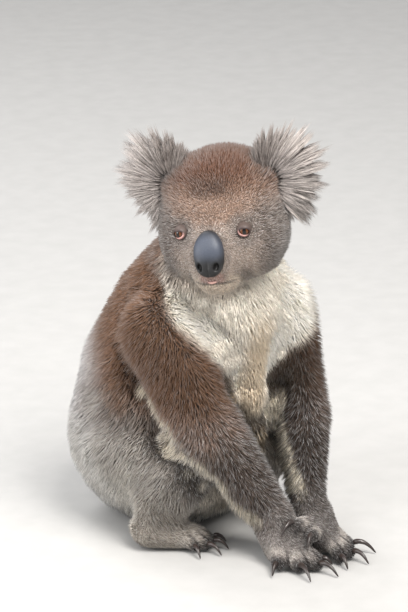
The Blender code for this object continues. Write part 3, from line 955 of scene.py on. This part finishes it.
def make_ear_fan(side):
    """Long pale locks that fan out over the cup of the ear in pointed bunches."""
    sign = SIDES[side]
    count = 6200
    bunches = rng.uniform(-100, 122, BUNCHES)
    layer = rng.random(count)  # 0 is the back of the ear, 1 the front
    angle = rng.uniform(-98, 120, count)
    nearest = np.abs(angle[:, None] - bunches).argmin(1)
    tip_angle = angle + (bunches[nearest] - angle) * 0.45
    bunch_length = rng.uniform(0.78, 1.04, BUNCHES)[nearest]
    reach = np.interp(tip_angle, FAN_ANGLES, FAN_REACH) * bunch_length
    reach *= rng.uniform(0.80, 1.02, count)
    reach *= 1 - 0.30 * (layer > 0.6) * rng.random(count)
    start = rng.uniform(0.10, 0.55, count) * np.minimum(reach, 0.060)
    angle, tip_angle = np.radians(angle), np.radians(tip_angle)

    def along(share, turn, forward):
        out = start + (reach - start) * share
        x = sign * np.cos(turn) * out
        return EAR_FOCUS * [sign, 1, 1] + np.stack([x, forward, np.sin(turn) * out], axis=1)

    depth = 0.010 - 0.018 * layer
    bulge = -0.010 * layer
    mid_angle = angle + (tip_angle - angle) * 0.45
    sag = np.array([0, 0, -0.004])
    path = [
        along(0, angle, depth + 0.002),
        along(0.30, angle, depth + bulge),
        along(0.66, mid_angle, depth + bulge * 0.9) + sag * 0.2,
        along(1.0, tip_angle, depth + rng.normal(0, 0.004, count)) + sag,
    ]
    path = [from_head(p) for p in path]
    ahead = unit(path[3] - path[0])
    side_w = unit(np.cross(ahead, turn_from_head(np.tile([0, -1.0, 0], (count, 1)))))
    up_w = np.cross(side_w, ahead)
    turn = rng.uniform(0, math.tau / 3, (count, 1))
    width = rng.uniform(0.00030, 0.00058, (count, 1))
    rings = ring_round(path[1], side_w, up_w, width, turn)
    rings += ring_round(path[2], side_w, up_w, width * 0.75, turn)
    verts = np.stack([path[0], *rings, path[3]], axis=1)
    pale = rng.uniform(0.72, 1.06, (count, 1)) * (0.8 + 0.2 * bunch_length[:, None])
    behind = step(0.50, 0.25, layer)[:, None]
    inner = step(46, 82, np.degrees(angle) + rng.normal(0, 8, count))[:, None]
    dull = np.maximum(behind * 0.75, inner * 0.9)
    tip = (EAR_WHITE + (EAR_GREY - EAR_WHITE) * dull) * pale
    middle = tip * 0.72 + EAR_GREY * 0.16
    root = (EAR_DARK + (EAR_GREY - EAR_DARK) * rng.uniform(0, 1, (count, 1))) * pale
    shades = np.stack([root, *[root * 0.6 + middle * 0.4] * 3, *[middle] * 3, tip], axis=1)
    shades = np.clip(shades, 0.01, 0.95)
    coat_piece(f"ear_fan_{side}", verts, shades, uv_of_skin(path[0]))


for side in SIDES:
    make_ear_fan(side)

# ---- Eyes, lids, nose, mouth, claws ----


EYE_RADIUS, EYE_SET_BACK = 0.0080, 0.0028  # the second is how deep it sits behind its CAD place
LID_RADIUS = 0.0084  # of the ball that the lids lie on
LID_OPENING = (0.0056, 0.0031, 0.0040)  # half its width, then its height above and below
LID_REACH = (0.0094, 0.0092)  # half the width and height of the lids


def make_eye(side):
    """A wet eyeball with an amber iris and an upright slit, in a rim of bare lid."""
    sign = SIDES[side]
    spot = in_head(EYES[side])
    mesh = unit_ball(f"eyeball_{side}", 64, 48)
    ball = points_of(mesh)
    gaze = unit(np.array([0.30 * sign, -1.0, 0.02]))
    right = unit(np.cross(gaze, np.array([0, 0, 1.0])))
    up = np.cross(right, gaze)
    spot = spot - EYE_SET_BACK * gaze
    u, v, w = ball @ right, ball @ up, ball @ gaze
    around = np.hypot(u, v)
    iris = step(0.72, 0.66, around) * (w > 0)
    slit = step(1.1, 0.85, np.hypot(u / 0.25, v / 0.58)) * (w > 0)
    colours = np.tile(rgb(40, 28, 25), (len(ball), 1))
    colours = mix(colours, rgb(92, 54, 30), iris)
    colours = mix(colours, rgb(40, 24, 16), iris * step(0.40, 0.66, around))
    colours = mix(colours, rgb(6, 5, 5), slit)
    bulge = 1 + 0.05 * step(0.8, 0.2, around) * (w > 0)
    object_colours(mesh, colours)
    mesh.materials.append(eye_material)
    obj = add_object(f"eyeball_{side}", mesh)
    set_points(mesh, from_head(spot + ball * bulge[:, None] * EYE_RADIUS))
    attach(obj, "root")
    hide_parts(f"eye_{side}")
    make_lids(side, spot, gaze, right, up, sign)


def make_lids(side, spot, gaze, right, up, sign):
    rings, loops = 20, 72
    t = np.linspace(0, math.tau, loops, endpoint=False)
    rise = np.sign(np.sin(t)) * np.abs(np.sin(t)) ** 0.85
    above = np.sin(t) > 0
    half, high, low = LID_OPENING
    inner = np.stack([half * np.cos(t), np.where(above, high, low) * rise], axis=1)
    inner[:, 1] += 0.0007 * np.cos(t) * sign
    outer = np.stack([LID_REACH[0] * np.cos(t), LID_REACH[1] * np.sin(t)], axis=1)
    nose_side = -np.cos(t) * (right @ np.array([sign, 0, 0]))
    pink = step(0.0, 1.0, -np.sin(t) * 0.8 + nose_side * 0.6)
    rim = mix(np.tile(rgb(60, 48, 46), (loops, 1)), rgb(196, 152, 146), pink)
    points, colours = [], []
    for k in range(rings):
        a = math.tau * k / rings
        share = 0.5 - 0.5 * math.cos(a)
        flat = inner + (outer - inner) * share
        over = np.maximum(LID_RADIUS**2 - (flat**2).sum(1), 0)
        swell = math.sin(a) * np.where(above, 0.0012, 0.0007)
        sunk = 0.0025 * step(0.0075, 0.0092, np.linalg.norm(flat, axis=1))
        lift = np.sqrt(over) + swell + 0.0004 - sunk
        points.append(spot + flat[:, :1] * right + flat[:, 1:] * up + lift[:, None] * gaze)
        colours.append(mix(rim, rgb(82, 71, 67), np.full(loops, step(0.20, 0.55, share))))
    mesh = ring_mesh([from_head(ring) for ring in points], True, f"lids_{side}")
    object_colours(mesh, np.concatenate(colours))
    mesh.materials.append(lid_material)
    obj = add_object(f"lids_{side}", mesh)
    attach(obj, "root")


NOSE_HALF = (0.0168, 0.0118, 0.0256)  # half its width, its depth in front, half its height
NOSE_SET_BACK = 0.0030


def make_nose():
    """The long oval pad of bare leather, flat in front, with comma nostrils low on its sides."""
    mesh = unit_ball("nose", 96, 72)
    p = points_of(mesh)
    spot = in_head(NOSE) + np.array([0, NOSE_SET_BACK, 0])
    x, y, z = p.T
    wide = NOSE_HALF[0] * (1 + 0.06 * np.clip(-z, 0, 1) - 0.10 * step(0.3, 1.0, z))
    x = np.sign(x) * np.abs(x) ** 0.90 * wide
    y = np.where(y < 0, -np.abs(y) ** 0.72 * NOSE_HALF[1], y * 0.012)
    z = np.sign(z) * np.abs(z) ** 0.92 * NOSE_HALF[2]
    y = y - 0.0022 * step(-0.2, -0.8, p[:, 2]) + 0.0035 * step(0.1, 1.0, p[:, 2])
    dark = np.zeros(len(x))
    for sign in (-1, 1):
        hole = np.hypot((x - sign * (0.0094 + 0.10 * (z + 0.013))) / 0.0034, (z + 0.0135) / 0.0052)
        dent = step(1.15, 0.25, hole) * (p[:, 1] < 0.1)
        y = y + dent * 0.0048
        dark = np.maximum(dark, step(1.25, 0.6, hole))
        wing = np.exp(-(((hole - 1.35) / 0.35) ** 2)) * (p[:, 1] < 0.1)
        y = y - wing * 0.0004
    groove = np.exp(-((x / 0.0011) ** 2)) * step(-0.004, -0.014, z)
    y = y + groove * 0.0012 * (p[:, 1] < 0)
    turn = math.radians(-10)
    yy = y * math.cos(turn) - z * math.sin(turn)
    zz = y * math.sin(turn) + z * math.cos(turn)
    place = np.stack([x, yy, zz], axis=1) + spot
    # Painted highlight: a lighter blue-grey patch on the upper middle of the pad.
    top = step(-0.012, 0.004, z) * step(0.024, 0.012, np.hypot(x, z - 0.004))
    colours = mix(np.tile(rgb(25, 25, 26), (len(x), 1)), rgb(66, 71, 82), top)
    # Painted shade: the nostrils and the groove low down the middle of the pad are made near black.
    colours = mix(colours, rgb(14, 12, 12), np.maximum(dark, groove * 0.7))
    object_colours(mesh, colours)
    mesh.materials.append(nose_material)
    obj = add_object("nose", mesh)
    set_points(mesh, from_head(place))
    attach(obj, "root")
    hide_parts("nose_pad")


def make_claw(name):
    """The claw's solid, rounded by subdivision, dark low down and painted lighter towards its top
    as a painted highlight.
    """
    obj = add_object(f"{name}_horn", as_mesh(welded([name]), f"{name}_horn"))
    sub = obj.modifiers.new("round", "SUBSURF")
    sub.levels = sub.render_levels = 2
    fine = evaluated(obj)
    obj.modifiers.clear()
    obj.data = fine
    fine.shade_smooth()
    p = points_of(fine)
    set_points(fine, p + normals_of(fine) * 0.0004)
    tone = rgb(44, 38, 36) * (0.8 + 0.4 * rng.random())
    # Painted highlight: the horn is made up to half again lighter towards its top.
    lift = (p[:, 2] - p[:, 2].min()) / (np.ptp(p[:, 2]) + 1e-6)
    shades = np.tile(tone, (len(p), 1)) * (1 + 0.5 * lift)[:, None]
    object_colours(fine, shades)
    fine.materials.clear()
    fine.materials.append(claw_material)
    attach(obj, "root")
    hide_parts(name)


LIP_HALF, LIP_THICK = 0.0115, 0.0024
LIP_PLACE = (-0.0790, -0.0475)  # Y and Z of its middle, in the head's frame


def make_mouth():
    """The pink lower lip under the nose, its upper side painted dark as the shadow of the mouth
    above it.
    """
    loops, rings = 40, 10
    t = np.linspace(-1, 1, loops)
    bend = [LIP_HALF * t, LIP_PLACE[0] + 0.010 * t**2, LIP_PLACE[1] + 0.0030 * t**2]
    spine = np.stack(bend, axis=1)
    thick = (LIP_THICK * np.sqrt(np.maximum(1 - t**2, 0)) + 0.0002)[:, None]
    points = []
    for k in range(rings):
        a = 2 * math.pi * k / rings
        points.append(spine + thick * np.array([0, -math.cos(a), 0.8 * math.sin(a)]))
    mesh = ring_mesh([from_head(ring) for ring in points], False, "lower_lip")
    height = np.concatenate(points)[:, 2] - LIP_PLACE[1]
    shadow = step(-0.0005, 0.0022, height)
    colours = mix(np.tile(rgb(192, 152, 142), (len(height), 1)), rgb(84, 58, 54), shadow)
    object_colours(mesh, colours)
    mesh.materials.append(lid_material)
    obj = add_object("lower_lip", mesh)
    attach(obj, "root")


for side in SIDES:
    make_eye(side)
make_nose()
make_mouth()
for name in TOES:
    make_claw(name)

# ---- Floor, light and camera ----

AZIMUTH, ELEVATION = -50, 18  # in degrees: azimuth 0 is straight in front
DISTANCE, LENS = 4.3, 223.8
TARGET = Vector((-0.011, 0.011, 0.273))  # what the camera faces
LIT_POINT = Vector((0, 0, 0.25))  # what all the lights face


def add_facing(name, data, target, azimuth, elevation, distance):
    """A light or camera that faces the target from the given angles, in degrees."""
    a, e = math.radians(azimuth), math.radians(elevation)
    toward = Vector((math.sin(a) * math.cos(e), -math.cos(a) * math.cos(e), math.sin(e)))
    obj = add_object(name, data)
    obj.location = target + toward * distance
    obj.rotation_euler = toward.to_track_quat("Z", "Y").to_euler()
    return obj


def make_floor():
    bm = bmesh.new()
    bmesh.ops.create_grid(bm, x_segments=8, y_segments=8, size=6)
    mesh = as_mesh(bm, "floor")
    made, tree, shader = new_material("floor_paper", 0.9, 0.2)
    plain = tree.nodes.new("ShaderNodeRGB")
    plain.outputs[0].default_value = (0.46, 0.455, 0.445, 1)
    colour, _ = speckled(tree, plain.outputs[0], 30, 0.97, 1.03)
    tree.links.new(colour, shader.inputs["Base Color"])
    mesh.materials.append(made)
    obj = add_object("floor", mesh)


def add_light(name, azimuth, elevation, distance, size, power, colour=(1, 1, 1)):
    data = bpy.data.lights.new(name, "AREA")
    data.shape = "DISK"
    data.size = size
    data.energy = power
    data.color = colour
    add_facing(name, data, LIT_POINT, azimuth, elevation, distance)


def make_camera():
    data = bpy.data.cameras.new("camera")
    data.lens = LENS
    data.sensor_width = 36
    data.clip_end = 50
    camera = add_facing("camera", data, TARGET, AZIMUTH, ELEVATION, DISTANCE)
    bpy.context.scene.camera = camera


def make_world():
    world = bpy.data.worlds.new("studio")
    world.use_nodes = True
    sky = world.node_tree.nodes["Background"]
    sky.inputs["Color"].default_value = (0.985, 0.985, 1.0, 1)
    sky.inputs["Strength"].default_value = 0.62
    bpy.context.scene.world = world


make_floor()
make_world()
# Name, azimuth, elevation, distance, size, watts, colour
add_light("key", -22, 52, 2.6, 1.6, 112, (1, 0.97, 0.93))
add_light("fill", -95, 40, 3.0, 2.0, 34)
add_light("rim", 165, 50, 2.8, 1.4, 40)
add_light("kick", -120, 8, 2.6, 1.4, 36)
make_camera()
bpy.context.scene.view_settings.view_transform = "Standard"
